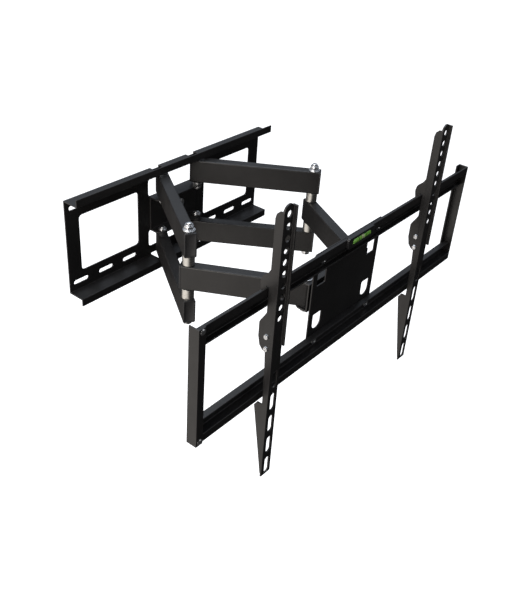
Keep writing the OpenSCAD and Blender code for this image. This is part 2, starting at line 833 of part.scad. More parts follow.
// outline of the flange in (x from the web, v)
module flange_outline() {
    square_top = bracket_top - bracket_flange / 2;
    lip_end = bracket_top - 3;
    hole_top = bracket_top - tv_hole_top;
    difference() {
        union() {
            translate([0, -bracket_bottom]) square([bracket_flange, bracket_bottom + square_top]);
            translate([bracket_flange / 2, square_top]) circle(d = bracket_flange);
            translate([bracket_flange / 2, square_top])
                square([bracket_flange / 2, lip_end - square_top]);
        }
        for (i = [0:tv_hole_n - 1])
            translate([tv_hole_x, hole_top - i * tv_hole_pitch]) circle(d = tv_hole_d);
        for (i = [0:tv_slot_n - 1])
            translate([tv_hole_x, tv_slot_low + i * tv_slot_pitch])
                rotate(90) slot(tv_slot_len, tv_hole_d);
    }
}

module tv_bracket(x) {
    color(black) translate([x, front_y, 0]) {
        difference() {
            rotate([90, 0, 90]) linear_extrude(bracket_t) mirror([1, 0]) web_outline();
            lock_screw_places() cylinder(r = 2.5 + fixed_fit, h = cut, center = true);
        }
        translate([0, -bracket_front + bracket_t, 0]) rotate([90, 0, 0])
            linear_extrude(bracket_t) flange_outline();
        translate([bracket_flange - bracket_t, -bracket_front - bracket_lip, 0])
            cube([bracket_t, bracket_lip + bracket_t, bracket_top - 3]);
    }
}

module lock_screw_places() {
    for (p = [[3.5, 16], [4, -2.5]])
        translate([0, -p[0], p[1]]) rotate([0, 90, 0]) children();
}

module lock_screws(x) {
    color(zinc) translate([x, front_y, 0]) lock_screw_places() mirror([0, 0, 1])
        difference() {
            union() {
                cylinder(r1 = 4.4, r2 = 3, h = 2.2);
                translate([0, 0, -bracket_t - 5]) cylinder(r = 2.5, h = bracket_t + 5 + eps);
            }
            for (a = [0, 90]) rotate(a) translate([-2.2, -0.45, 1]) cube([4.4, 0.9, 2]);
        }
}

wall_plate();
pivot_bracket();
bracket_bolts();
wall_bolts();
wall_lock_nuts();
wall_washers();
wall_sleeves();
first_tube(1);  // left_upper_tube
first_tube(-1);  // left_lower_tube
first_plugs();  // left_end_plugs
wall_bushes();  // left_wall_bushes
elbow_bolt();  // left_elbow_bolt
elbow_nut();  // left_elbow_nut
elbow_spacer(1);  // left_upper_spacer
elbow_spacer(-1);  // left_lower_spacer
second_tube(bush_r);  // left_middle_tube
middle_plug();  // left_middle_plug
elbow_bushes();  // left_elbow_bushes
head_bushes(0);  // left_head_bushes
mirror([1, 0, 0]) first_tube(1);  // right_upper_tube
mirror([1, 0, 0]) first_tube(-1);  // right_lower_tube
mirror([1, 0, 0]) first_plugs();  // right_end_plugs
mirror([1, 0, 0]) wall_bushes();  // right_wall_bushes
mirror([1, 0, 0]) elbow_bolt();  // right_elbow_bolt
mirror([1, 0, 0]) elbow_nut();  // right_elbow_nut
mirror([1, 0, 0]) elbow_spacer(1);  // right_upper_spacer
mirror([1, 0, 0]) elbow_spacer(-1);  // right_lower_spacer
mirror([1, 0, 0]) second_tube(bush_r + closing_gap);  // right_middle_tube
mirror([1, 0, 0]) middle_plug();  // right_middle_plug
mirror([1, 0, 0]) elbow_bushes();  // right_elbow_bushes
mirror([1, 0, 0]) head_bushes(closing_gap);  // right_head_bushes
head_yoke();
head_bolts();
head_nuts();
tilt_plate();
tilt_bolt();
tilt_nut();
tilt_washers();
top_rail();
bottom_rail();
left_end_bar();
right_end_bar();
frame_bolts();
frame_nuts();
corner_rivets();
level_housing();
level_vial();
tv_bracket(left_bracket_x);  // left_tv_bracket
lock_screws(left_bracket_x);  // left_lock_screws
tv_bracket(right_bracket_x);  // right_tv_bracket
lock_screws(right_bracket_x);  // right_lock_screws
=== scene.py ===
"""Full motion wall mount for a television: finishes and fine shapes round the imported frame."""
import json
import math

import bmesh
import bpy
from mathutils import Matrix, Vector


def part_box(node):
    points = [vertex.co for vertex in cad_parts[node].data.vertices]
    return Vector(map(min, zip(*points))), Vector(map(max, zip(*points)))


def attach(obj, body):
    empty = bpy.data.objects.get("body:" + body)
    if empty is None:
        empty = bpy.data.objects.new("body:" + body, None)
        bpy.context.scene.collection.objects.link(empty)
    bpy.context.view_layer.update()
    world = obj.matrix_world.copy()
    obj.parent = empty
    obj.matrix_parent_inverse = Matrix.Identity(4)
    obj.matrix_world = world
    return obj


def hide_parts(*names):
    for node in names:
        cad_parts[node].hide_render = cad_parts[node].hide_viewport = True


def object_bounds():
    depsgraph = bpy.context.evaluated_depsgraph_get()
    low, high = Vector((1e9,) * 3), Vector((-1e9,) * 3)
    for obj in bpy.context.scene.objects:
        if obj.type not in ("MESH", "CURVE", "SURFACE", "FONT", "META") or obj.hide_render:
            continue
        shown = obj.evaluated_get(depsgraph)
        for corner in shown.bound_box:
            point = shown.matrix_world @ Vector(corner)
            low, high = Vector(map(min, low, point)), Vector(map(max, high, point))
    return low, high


bl_info = {
    "name": "Full Motion Wall Mount",
    "version": (1, 0, 0),
    "blender": (4, 5, 0),
    "location": "View3D > Sidebar > Wall Mount",
    "description": "Finishes and fine shapes of a full motion wall mount",
    "category": "Object",
}

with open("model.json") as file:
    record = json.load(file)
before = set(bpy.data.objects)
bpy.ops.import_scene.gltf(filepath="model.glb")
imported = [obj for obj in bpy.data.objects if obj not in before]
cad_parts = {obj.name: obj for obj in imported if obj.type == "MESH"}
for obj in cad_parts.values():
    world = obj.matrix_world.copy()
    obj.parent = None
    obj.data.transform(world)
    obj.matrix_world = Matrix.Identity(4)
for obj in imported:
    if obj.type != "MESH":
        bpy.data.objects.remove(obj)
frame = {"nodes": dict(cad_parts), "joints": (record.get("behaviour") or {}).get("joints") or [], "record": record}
CAD_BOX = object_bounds()
BODY_OF = {n: b for b, nodes in frame["record"]["behaviour"]["bodies"].items() for n in nodes}
PIVOTS = {j["name"]: Vector(j["pos_m"]) for j in frame["joints"] if j["type"] == "hinge"}
MM = 0.001
UP = Vector((0, 0, 1))
SHOT_AIM = Vector((0, -0.1825, 0))       # the camera is aimed beside this point of the head's path
WASHER_T = 1.5 * MM
PIVOT_HEAD = 3.8 * MM                    # height of the bolt heads at wall and head pivots
WALL_NUT_T = 5 * MM
BRACKET_BOLT_R = 4 * MM
BRACKET_HEAD = 5 * MM
TILT_BOLT_R = 3 * MM
TILT_HEAD = 4 * MM
FRAME_BOLT_R = 3 * MM
FRAME_HEAD_R = 6 * MM
FRAME_HEAD = 3.6 * MM                    # height of the round heads on the rails
SLACK_HOLE = 1.02                        # a nut's hole against its bolt

PRESSED_SHEETS = (
    "wall_plate", "pivot_bracket", "head_yoke", "tilt_plate", "top_rail", "bottom_rail",
    "left_end_bar", "right_end_bar", "left_tv_bracket", "right_tv_bracket",
)
MOULDED_PARTS = (
    "left_wall_bushes", "left_elbow_bushes", "left_head_bushes", "right_wall_bushes",
    "right_elbow_bushes", "right_head_bushes", "wall_sleeves", "tilt_washers",
)
SPACERS = ("left_upper_spacer", "left_lower_spacer", "right_upper_spacer", "right_lower_spacer")
CAD_FASTENERS = ("corner_rivets", "left_lock_screws", "right_lock_screws", "wall_washers")


# ---------- settings that a user would change ----------

class MountSizes(bpy.types.PropertyGroup):
    """Fine sizes that the frame leaves to the looks."""
    tube_edge: bpy.props.FloatProperty(
        name="Tube edge", description="Corner radius along the arm tubes",
        default=2.2 * MM, min=0.5 * MM, max=4 * MM, unit="LENGTH", precision=5)
    tube_width: bpy.props.FloatProperty(
        name="Tube width", description="Width of the arm tubes",
        default=18 * MM, min=15 * MM, max=20 * MM, unit="LENGTH", precision=5)
    tube_past: bpy.props.FloatProperty(
        name="Tube end", description="How far a tube's square end reaches past its pivot",
        default=9 * MM, min=8 * MM, max=10 * MM, unit="LENGTH", precision=5)
    plug: bpy.props.FloatProperty(
        name="End plug", description="Thickness of the face of an end plug",
        default=2.5 * MM, min=1 * MM, max=2.5 * MM, unit="LENGTH", precision=5)
    sheet_edge: bpy.props.FloatProperty(
        name="Sheet edge", description="Rounding of coated sheet edges",
        default=0.4 * MM, min=0.1 * MM, max=0.8 * MM, unit="LENGTH", precision=5)
    moulded_edge: bpy.props.FloatProperty(
        name="Moulded edge", description="Rounding of plastic and turned parts",
        default=0.3 * MM, min=0.1 * MM, max=0.6 * MM, unit="LENGTH", precision=5)
    pivot_bolt: bpy.props.FloatProperty(
        name="Pivot bolt", description="Diameter of the pivot bolts",
        default=8 * MM, min=7 * MM, max=9 * MM, unit="LENGTH", precision=5)
    thread_pitch: bpy.props.FloatProperty(
        name="Thread pitch", description="Distance between the threads of a pivot bolt",
        default=1.25 * MM, min=1 * MM, max=2 * MM, unit="LENGTH", precision=5)


class MountFinish(bpy.types.PropertyGroup):
    """Colours of the finishes."""
    coat: bpy.props.FloatVectorProperty(
        name="Powder coat", description="Colour of the coated steel",
        subtype="COLOR", size=3, default=(0.0135, 0.0130, 0.0135), min=0, max=1)
    zinc: bpy.props.FloatVectorProperty(
        name="Zinc", description="Colour of bolts and nuts",
        subtype="COLOR", size=3, default=(0.80, 0.81, 0.83), min=0, max=1)
    spacer: bpy.props.FloatVectorProperty(
        name="Spacers", description="Colour of the turned spacers",
        subtype="COLOR", size=3, default=(0.80, 0.79, 0.75), min=0, max=1)
    nylon: bpy.props.FloatVectorProperty(
        name="Nylon", description="Colour of bushes and washers",
        subtype="COLOR", size=3, default=(0.022, 0.022, 0.024), min=0, max=1)
    vial: bpy.props.FloatVectorProperty(
        name="Level liquid", description="Colour of the level's liquid",
        subtype="COLOR", size=3, default=(0.25, 0.62, 0.08), min=0, max=1)


class MountStage(bpy.types.PropertyGroup):
    """Camera and floor."""
    azimuth: bpy.props.FloatProperty(
        name="Camera azimuth", description="How far the camera stands to the left of the front",
        default=math.radians(53.83), subtype="ANGLE")
    elevation: bpy.props.FloatProperty(
        name="Camera elevation", description="How far the camera looks down",
        default=math.radians(32.99), subtype="ANGLE")
    roll: bpy.props.FloatProperty(
        name="Camera roll", description="Roll of the camera about its view",
        default=math.radians(4.81), subtype="ANGLE")
    distance: bpy.props.FloatProperty(
        name="Camera distance", description="Distance from the point that the camera looks at",
        default=1.2245, min=0.5, max=5, unit="LENGTH")
    lens: bpy.props.FloatProperty(
        name="Lens", description="Focal length on a sensor 36 mm high", default=47.75, min=20, max=120)
    floor_drop: bpy.props.FloatProperty(
        name="Floor", description="How far the floor lies under the mount",
        default=0.50, min=0.01, max=2, unit="LENGTH")


# ---------- node helpers ----------

def blank_material(name):
    """A new material with its tree, its shader and its object coordinates."""
    material = bpy.data.materials.new(name)
    material.use_nodes = True
    tree = material.node_tree
    shader = tree.nodes["Principled BSDF"]
    place = tree.nodes.new("ShaderNodeTexCoord").outputs["Object"]
    return material, tree, shader, place


def noise_of(tree, place, scale, detail=3.0, rough=0.55):
    """Noise value at a scale given in features per metre."""
    node = tree.nodes.new("ShaderNodeTexNoise")
    node.inputs["Scale"].default_value = scale
    node.inputs["Detail"].default_value = detail
    node.inputs["Roughness"].default_value = rough
    tree.links.new(place, node.inputs["Vector"])
    return node.outputs["Fac"]


def stretched(tree, place, factors):
    """Coordinates stretched along each axis."""
    node = tree.nodes.new("ShaderNodeMapping")
    node.inputs["Scale"].default_value = factors
    tree.links.new(place, node.inputs["Vector"])
    return node.outputs["Vector"]


def spread(tree, value, low, high, start=0.3, stop=0.7):
    """A noise value spread from low to high."""
    node = tree.nodes.new("ShaderNodeMapRange")
    node.inputs["From Min"].default_value = start
    node.inputs["From Max"].default_value = stop
    node.inputs["To Min"].default_value = low
    node.inputs["To Max"].default_value = high
    tree.links.new(value, node.inputs["Value"])
    return node.outputs["Result"]


def blend_colours(tree, value, first, second):
    """Colour that goes from first to second with value."""
    node = tree.nodes.new("ShaderNodeMix")
    node.data_type = "RGBA"
    node.inputs["A"].default_value = (*first, 1)
    node.inputs["B"].default_value = (*second, 1)
    tree.links.new(value, node.inputs["Factor"])
    return node.outputs["Result"]


def add_bump(tree, shader, heights, strength, depth):
    """Bumps from several heights, one on top of the other."""
    normal = None
    for height in heights:
        node = tree.nodes.new("ShaderNodeBump")
        node.inputs["Strength"].default_value = strength
        node.inputs["Distance"].default_value = depth
        tree.links.new(height, node.inputs["Height"])
        if normal is not None:
            tree.links.new(normal, node.inputs["Normal"])
        normal = node.outputs["Normal"]
    tree.links.new(normal, shader.inputs["Normal"])


def tinted(colour, factor):
    return tuple(min(1.0, c * factor) for c in colour)


# ---------- finishes ----------

def powder_coat(name, colour, rough_low, rough_high):
    """Satin black powder coat: fine grain, faint mottling and rubbed patches."""
    material, tree, shader, place = blank_material(name)
    mottling = noise_of(tree, place, 26, 4)
    rubbed = noise_of(tree, stretched(tree, place, (1, 1, 0.35)), 70, 5, 0.65)
    tone = spread(tree, mottling, 0, 1)
    tree.links.new(blend_colours(tree, tone, tinted(colour, 0.82), tinted(colour, 1.25)),
                   shader.inputs["Base Color"])
    tree.links.new(spread(tree, rubbed, rough_low, rough_high), shader.inputs["Roughness"])
    shader.inputs["Specular IOR Level"].default_value = 0.5
    add_bump(tree, shader, [noise_of(tree, place, 650, 2), noise_of(tree, place, 1900, 2)],
             0.35, 0.06 * MM)
    return material


def plated_steel(name, colour, roughness):
    """Bright zinc plate with clouding and fine rubbing marks."""
    material, tree, shader, place = blank_material(name)
    clouds = noise_of(tree, place, 190, 4)
    marks = noise_of(tree, stretched(tree, place, (1, 1, 0.12)), 2600, 3)
    tree.links.new(blend_colours(tree, spread(tree, clouds, 0, 1), tinted(colour, 0.86), colour),
                   shader.inputs["Base Color"])
    shader.inputs["Metallic"].default_value = 1.0
    tree.links.new(spread(tree, marks, roughness * 0.75, roughness * 1.3), shader.inputs["Roughness"])
    add_bump(tree, shader, [clouds, marks], 0.12, 0.04 * MM)
    return material


def turned_steel(name, colour):
    """Turned spacer: tool marks run round it."""
    material, tree, shader, place = blank_material(name)
    rings = noise_of(tree, stretched(tree, place, (0.02, 0.02, 1)), 3200, 2)
    stains = noise_of(tree, place, 140, 4)
    tree.links.new(blend_colours(tree, spread(tree, stains, 0, 1), tinted(colour, 0.8), colour),
                   shader.inputs["Base Color"])
    shader.inputs["Metallic"].default_value = 1.0
    tree.links.new(spread(tree, rings, 0.22, 0.42), shader.inputs["Roughness"])
    add_bump(tree, shader, [rings], 0.25, 0.05 * MM)
    return material


def moulded_plastic(name, colour, rough_low, rough_high):
    """Moulded nylon with a faint spark texture."""
    material, tree, shader, place = blank_material(name)
    grain = noise_of(tree, place, 1500, 2)
    flow = noise_of(tree, place, 60, 3)
    tone = spread(tree, flow, 0, 1)
    tree.links.new(blend_colours(tree, tone, tinted(colour, 0.8), tinted(colour, 1.3)),
                   shader.inputs["Base Color"])
    tree.links.new(spread(tree, grain, rough_low, rough_high), shader.inputs["Roughness"])
    add_bump(tree, shader, [grain], 0.2, 0.05 * MM)
    return material


def level_liquid(name, colour):
    """Clear green vial: bright liquid under a glossy face."""
    material, tree, shader, place = blank_material(name)
    depth = noise_of(tree, stretched(tree, place, (0.3, 1, 1)), 90, 2)
    tone = spread(tree, depth, 0, 1)
    tree.links.new(blend_colours(tree, tone, tinted(colour, 0.85), tinted(colour, 1.2)),
                   shader.inputs["Base Color"])
    tree.links.new(spread(tree, depth, 0.05, 0.12), shader.inputs["Roughness"])
    shader.inputs["Coat Weight"].default_value = 1.0
    shader.inputs["Coat Roughness"].default_value = 0.03
    shader.inputs["Subsurface Weight"].default_value = 0.15
    shader.inputs["Subsurface Scale"].default_value = 3 * MM
    add_bump(tree, shader, [depth], 0.05, 0.05 * MM)
    return material


def pale_floor(name):
    """Plain pale floor that stays almost white."""
    material, tree, shader, place = blank_material(name)
    cloth = noise_of(tree, place, 3, 2)
    tone = spread(tree, cloth, 0, 1)
    tree.links.new(blend_colours(tree, tone, (0.86, 0.86, 0.86), (0.90, 0.90, 0.90)),
                   shader.inputs["Base Color"])
    shader.inputs["Roughness"].default_value = 0.9
    shader.inputs["Emission Color"].default_value = (1, 1, 1, 1)
    shader.inputs["Emission Strength"].default_value = 0.78
    return material


def finishes():
    """All finishes by name, made once."""
    if "coat" not in FINISHES:
        look = bpy.context.scene.mount_finish
        coat = tuple(look.coat)
        nylon = tuple(look.nylon)
        FINISHES.update(
            coat=powder_coat("powder_coat", coat, 0.34, 0.50),
            # Edge finish for the rounded edges: the coat 2.6 times lighter and smoother, partly edge wear and
            # partly a painted highlight along the edges.
            worn=powder_coat("powder_coat_edge_wear_and_highlight", tinted(coat, 2.6), 0.24, 0.36),
            zinc=plated_steel("zinc_plate", tuple(look.zinc), 0.26),
            spacer=turned_steel("turned_spacer", tuple(look.spacer)),
            nylon=moulded_plastic("moulded_nylon", nylon, 0.42, 0.58),
            insert=moulded_plastic("nut_insert", tinted(nylon, 6), 0.40, 0.55),
            housing=moulded_plastic("level_housing", tinted(nylon, 0.7), 0.28, 0.40),
            liquid=level_liquid("level_liquid", tuple(look.vial)),
            bubble=level_liquid("level_bubble", (0.72, 0.90, 0.42)),
            mark=moulded_plastic("level_marks", (0.01, 0.01, 0.01), 0.30, 0.40),
        )
    return FINISHES


FINISHES = {}


# ---------- mesh helpers ----------

def new_piece(name, bm, materials, body, replaced):
    """Turns bm into a piece that rides on body, takes slot's finish and stands for a CAD node."""
    mesh = bpy.data.meshes.new(name)
    bmesh.ops.recalc_face_normals(bm, faces=bm.faces)
    bm.to_mesh(mesh)
    bm.free()
    for material in materials:
        mesh.materials.append(material)
    piece = bpy.data.objects.new(name, mesh)
    bpy.context.scene.collection.objects.link(piece)
    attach(piece, body)
    if replaced:
        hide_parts(*replaced)
    return piece


def smooth_by_angle(bm, limit):
    """Smooth faces, with sharp edges where the surface turns by more than limit."""
    for face in bm.faces:
        face.smooth = True
    for edge in bm.edges:
        edge.smooth = len(edge.link_faces) == 2 and edge.calc_face_angle(0) < limit


def eased_copy(node, edge, materials):
    """Stands for a CAD node, with its flat faces whole and its edges rounded."""
    bm = bmesh.new()
    bm.from_mesh(frame["nodes"][node].data)
    for name in list(bm.loops.layers.uv.keys()):
        bm.loops.layers.uv.remove(bm.loops.layers.uv[name])
    for face in bm.faces:
        face.material_index = 0
    bmesh.ops.remove_doubles(bm, verts=bm.verts, dist=0.002 * MM)
    bmesh.ops.dissolve_limit(bm, angle_limit=math.radians(0.6), verts=bm.verts, edges=bm.edges)
    smooth_by_angle(bm, math.radians(40))
    piece = new_piece(node + "_piece", bm, materials, BODY_OF[node], [node])
    bevel = piece.modifiers.new("rounded_edges", "BEVEL")
    bevel.width = edge
    bevel.segments = 2
    bevel.limit_method = "ANGLE"
    bevel.angle_limit = math.radians(50)
    bevel.use_clamp_overlap = False
    # The bevel faces take the last slot, which on pressed sheets is the lighter edge finish: a painted highlight
    # along the edges as well as wear.
    bevel.material = len(materials) - 1
    weights = piece.modifiers.new("flat_faces", "WEIGHTED_NORMAL")
    weights.keep_sharp = True
    return piece


def add_loops(bm, loops, material=0, cap_first=True, cap_last=True):
    """Joins rings of points of equal count into a skin, with its ends closed."""
    rings = [[bm.verts.new(p) for p in ring] for ring in loops]
    count = len(rings[0])
    for low, high in zip(rings, rings[1:]):
        for i in range(count):
            j = (i + 1) % count
            face = bm.faces.new((low[i], low[j], high[j], high[i]))
            face.material_index = material
    if cap_first:
        bm.faces.new(list(reversed(rings[0]))).material_index = material
    if cap_last:
        bm.faces.new(rings[-1]).material_index = material
    return rings


def ring(radius, z, place, count=48):
    """Circle of points at height z in the frame given by place."""
    turns = [2 * math.pi * i / count for i in range(count)]
    return [place @ Vector((radius * math.cos(a), radius * math.sin(a), z)) for a in turns]


def turned(bm, profile, place, material=0, count=48, cap_first=True, cap_last=True):
    """Turns a profile of (radius, height) points about the axis of place."""
    add_loops(bm, [ring(r, z, place, count) for r, z in profile], material, cap_first, cap_last)


def hexagon_radius(turn, flats):
    """Distance from the middle of a hexagon to its side, at an angle."""
    sixth = math.pi / 3
    return flats / 2 / math.cos((turn + sixth / 2) % sixth - sixth / 2)


def hexagon_head(bm, place, flats, low, high, hole=0.0, material=0, count=72):
    """Hexagon with a curved chamfer on top, from height low to high, with a hole if one is given."""
    corner = flats / 2 / math.cos(math.pi / 6)
    drop = 0.09 * flats
    lower, upper = [], []
    for i in range(count):
        turn = 2 * math.pi * i / count
        r = hexagon_radius(turn, flats)
        share = (r - flats / 2) / (corner - flats / 2)
        lower.append(place @ Vector((r * math.cos(turn), r * math.sin(turn), low)))
        upper.append(place @ Vector((r * math.cos(turn), r * math.sin(turn), high - drop * share ** 0.8
                                     - 0.1 * drop)))
    loops = [ring(flats * 0.46, low - 0.02 * flats, place, count), lower, upper,
             ring(flats * 0.475, high, place, count)]
    if hole:
        loops = [ring(hole, low - 0.02 * flats, place, count)] + loops + [ring(hole, high, place, count)]
        loops.append(loops[0])
        rings = add_loops(bm, loops[:-1], material, False, False)
        for i in range(count):
            j = (i + 1) % count
            face = bm.faces.new((rings[-1][i], rings[-1][j], rings[0][j], rings[0][i]))
            face.material_index = material
    else:
        add_loops(bm, loops, material)


def thread(radius, low, high, pitch):
    """Profile of a threaded stretch with a chamfered tip at its high end."""
    depth = 0.5 * pitch
    chamfer = 0.9 * depth
    points = [(radius, low)]
    z = low + pitch
    while z < high - pitch:
        points += [(radius - 0.05 * pitch, z - 0.30 * pitch), (radius - depth, z),
                   (radius - 0.05 * pitch, z + 0.30 * pitch)]
        z += pitch
    return points + [(radius - 0.1 * pitch, high - chamfer), (radius - chamfer, high)]


def bolt(bm, place, radius, length, flats, head, tip, pitch, washer=(0.0, 0.0)):
    """Bolt whose head stands on z = 0 pointing down, with its thread at z = length."""
    washer_r, washer_t = washer
    if washer_t:
        washer_ring(bm, place @ Matrix.Translation((0, 0, -washer_t)), washer_r, radius * 0.98, washer_t)
    flip = place @ Matrix.Translation((0, 0, -washer_t)) @ Matrix.Rotation(math.pi, 4, "X")
    hexagon_head(bm, flip, flats, 0.02 * flats, head)
    turned(bm, [(radius, -washer_t), (radius, length - tip)]
           + thread(radius, length - tip + 0.2 * pitch, length, pitch), place)


def washer_ring(bm, place, outer, inner, thick, material=0):
    """Washer standing on z = 0, with broken edges."""
    edge = 0.18 * thick
    turned(bm, [(inner, 0), (outer - edge, 0), (outer, edge), (outer, thick - edge),
                (outer - edge, thick), (inner, thick), (inner, 0)], place, material,
           cap_first=False, cap_last=False)


def locking_nut(bm, place, flats, hole, height, collar=0.3):
    """Nut standing on z = 0: hexagon, rolled collar and the plastic ring in it."""
    hexagon_head(bm, place, flats, 0.02 * flats, height * (1 - collar), hole)
    base = height * (1 - collar)
    turned(bm, [(hole * 1.05, base - 0.05 * height), (flats * 0.455, base - 0.05 * height),
                (flats * 0.45, height * 0.90), (flats * 0.42, height * 0.985),
                (hole * 1.25, height), (hole * 1.12, height * 0.95), (hole * 1.05, height * 0.95)],
           place, cap_first=False, cap_last=False)
    turned(bm, [(hole * 1.14, height * 0.97), (hole * 1.02, height * 0.97), (hole * 1.0, height * 0.8)],
           place, material=1, cap_first=False, cap_last=False)


def facing(place, direction):
    """Matrix at place whose Z axis points along direction."""
    turn = UP.rotation_difference(Vector(direction)).to_matrix().to_4x4()
    return Matrix.Translation(place) @ turn


def plan_of(box):
    """Middle of a box in plan."""
    return (box[0].x + box[1].x) / 2, (box[0].y + box[1].y) / 2


# ---------- pieces ----------

def tube_outline(a, b, half, past, head_end, z, arc=14):
    """Plan of a tube from a to b at height z: cut square past its pivots, or round at the head."""
    along = Vector((b.x - a.x, b.y - a.y, 0)).normalized()
    across = Vector((-along.y, along.x, 0))
    if head_end:
        turns = [math.pi * (i / arc - 0.5) for i in range(arc + 1)]
        points = [b + (along * math.cos(t) + across * math.sin(t)) * half for t in turns]
    else:
        points = [b + along * past - across * half, b + along * past + across * half]
    points += [a - along * past + across * half, a - along * past - across * half]
    return [Vector((p.x, p.y, z)) for p in points]


def build_tube(node, a, b, sizes, head_end=False):
    """Arm tube with rounded long edges."""
    low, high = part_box(node)
    edge = sizes.tube_edge
    steps = 5
    loops = []
    for rise, level in ((1, low.z), (-1, high.z)):
        for i in range(steps + 1):
            turn = math.pi / 2 * (1 - i / steps if rise > 0 else i / steps)
            half = sizes.tube_width / 2 - edge * (1 - math.cos(turn))
            z = level + rise * edge * (1 - math.sin(turn))
            loops.append(tube_outline(a, b, half, sizes.tube_past, head_end, z))
    bm = bmesh.new()
    add_loops(bm, loops)
    smooth_by_angle(bm, math.radians(35))
    piece = new_piece(node + "_piece", bm, [finishes()["coat"]], BODY_OF[node], [node])
    weights = piece.modifiers.new("flat_faces", "WEIGHTED_NORMAL")
    weights.keep_sharp = True
    return piece


def build_plugs(node, ends, sizes):
    """Caps on tube ends; each end is (pivot, other pivot, lower level, upper level)."""
    bm = bmesh.new()
    radius = sizes.tube_edge
    steps = 5
    rim = 0.5 * MM
    dish = 2.5 * MM                      # where the face starts to sink
    profile = [(0, rim / 2), (rim / 2, 0), (sizes.plug - rim, 0), (sizes.plug - rim / 3, rim / 3),
               (sizes.plug, rim), (sizes.plug, dish), (sizes.plug - rim, dish + rim)]
    for at, other, low, high in ends:
        along = Vector((at.x - other.x, at.y - other.y, 0)).normalized()
        across = Vector((-along.y, along.x, 0))
        centre = Vector((at.x, at.y, (low + high) / 2)) + along * sizes.tube_past
        loops = []
        for out, inset in profile:
            wide, tall = sizes.tube_width / 2 - inset, (high - low) / 2 - inset
            corner = max(radius - inset, 0.3 * MM)
            loop = []
            for q, (sx, sz) in enumerate(((1, 1), (-1, 1), (-1, -1), (1, -1))):
                for i in range(steps + 1):
                    t = math.pi / 2 * (q + i / steps)
                    loop.append(centre + along * out
                                + across * (sx * (wide - corner) + corner * math.cos(t))
                                + UP * (sz * (tall - corner) + corner * math.sin(t)))
            loops.append(loop)
        add_loops(bm, loops)
    smooth_by_angle(bm, math.radians(35))
    new_piece(node + "_piece", bm, [finishes()["nylon"]], BODY_OF[node], [node])


def head_pivot(side):
    place = PIVOTS["left_head_pivot"].copy()
    place.x *= side
    return place


def build_vial(sizes_box):
    """Level vial: half round liquid, a bubble and two ring marks."""
    low, high = sizes_box
    mid = (low + high) / 2
    half = (high.x - low.x) / 2
    radius = (high.z - low.z) / 2
    back = high.y
    look = finishes()
    bm = bmesh.new()

    def half_round(centre, length, r, end_round, material, count=20):
        loops = []
        steps = 5
        profile = [(-length / 2 + end_round * (1 - math.cos(t)), r - end_round * (1 - math.sin(t)))
                   for t in (math.pi / 2 * i / steps for i in range(steps + 1))]
        profile += [(-x, s) for x, s in reversed(profile)]
        for x, s in profile:
            loops.append([Vector((centre + x, back - s * math.sin(math.pi * i / count),
                                  mid.z + s * math.cos(math.pi * i / count))) for i in range(count + 1)])
        add_loops(bm, loops, material)

    half_round(mid.x, 2 * half, radius, 1.2 * MM, 0)
    half_round(mid.x + 1.5 * MM, 13 * MM, radius * 1.004, 3.5 * MM, 1)
    for s in (-1, 1):
        half_round(mid.x + s * 9 * MM, 1.0 * MM, radius * 1.012, 0.1 * MM, 2)
    smooth_by_angle(bm, math.radians(40))
    return new_piece("level_vial_piece", bm, [look["liquid"], look["bubble"], look["mark"]],
                     BODY_OF["level_vial"], ["level_vial"])


class MOUNT_OT_pressed_sheets(bpy.types.Operator):
    """Wall plate, pivot bracket, yoke, tilt plate, rails, bars and television brackets"""
    bl_idname = "mount.pressed_sheets"
    bl_label = "Pressed Sheets"

    def execute(self, context):
        look = finishes()
        for node in PRESSED_SHEETS:
            edge = context.scene.mount_sizes.sheet_edge
            # The second finish lightens the rounded edges: edge wear and a painted highlight along them.
            eased_copy(node, edge, [look["coat"], look["worn"]])
        return {"FINISHED"}


class MOUNT_OT_arm_tubes(bpy.types.Operator):
    """Three tubes of each arm and the plugs in their ends"""
    bl_idname = "mount.arm_tubes"
    bl_label = "Arm Tubes"

    def execute(self, context):
        sizes = context.scene.mount_sizes
        for side, sign in (("left", 1), ("right", -1)):
            wall, elbow = PIVOTS[side + "_wall_pivot"], PIVOTS[side + "_elbow"]
            head = head_pivot(sign)
            ends = []
            for tube in ("_upper_tube", "_lower_tube"):
                build_tube(side + tube, wall, elbow, sizes)
                low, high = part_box(side + tube)
                ends += [(wall, elbow, low.z, high.z), (elbow, wall, low.z, high.z)]
            build_plugs(side + "_end_plugs", ends, sizes)
            build_tube(side + "_middle_tube", elbow, head, sizes, head_end=True)
            low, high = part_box(side + "_middle_tube")
            build_plugs(side + "_middle_plug", [(elbow, head, low.z, high.z)], sizes)
        return {"FINISHED"}


class MOUNT_OT_spacers_and_bushes(bpy.types.Operator):
    """Turned spacers, plastic bushes, sleeves and friction washers"""
    bl_idname = "mount.spacers_and_bushes"
    bl_label = "Spacers and Bushes"

    def execute(self, context):
        look = finishes()
        edge = context.scene.mount_sizes.moulded_edge
        for node in SPACERS:
            eased_copy(node, edge, [look["spacer"]])
        for node in MOULDED_PARTS:
            eased_copy(node, edge * 0.6, [look["nylon"]])
        return {"FINISHED"}


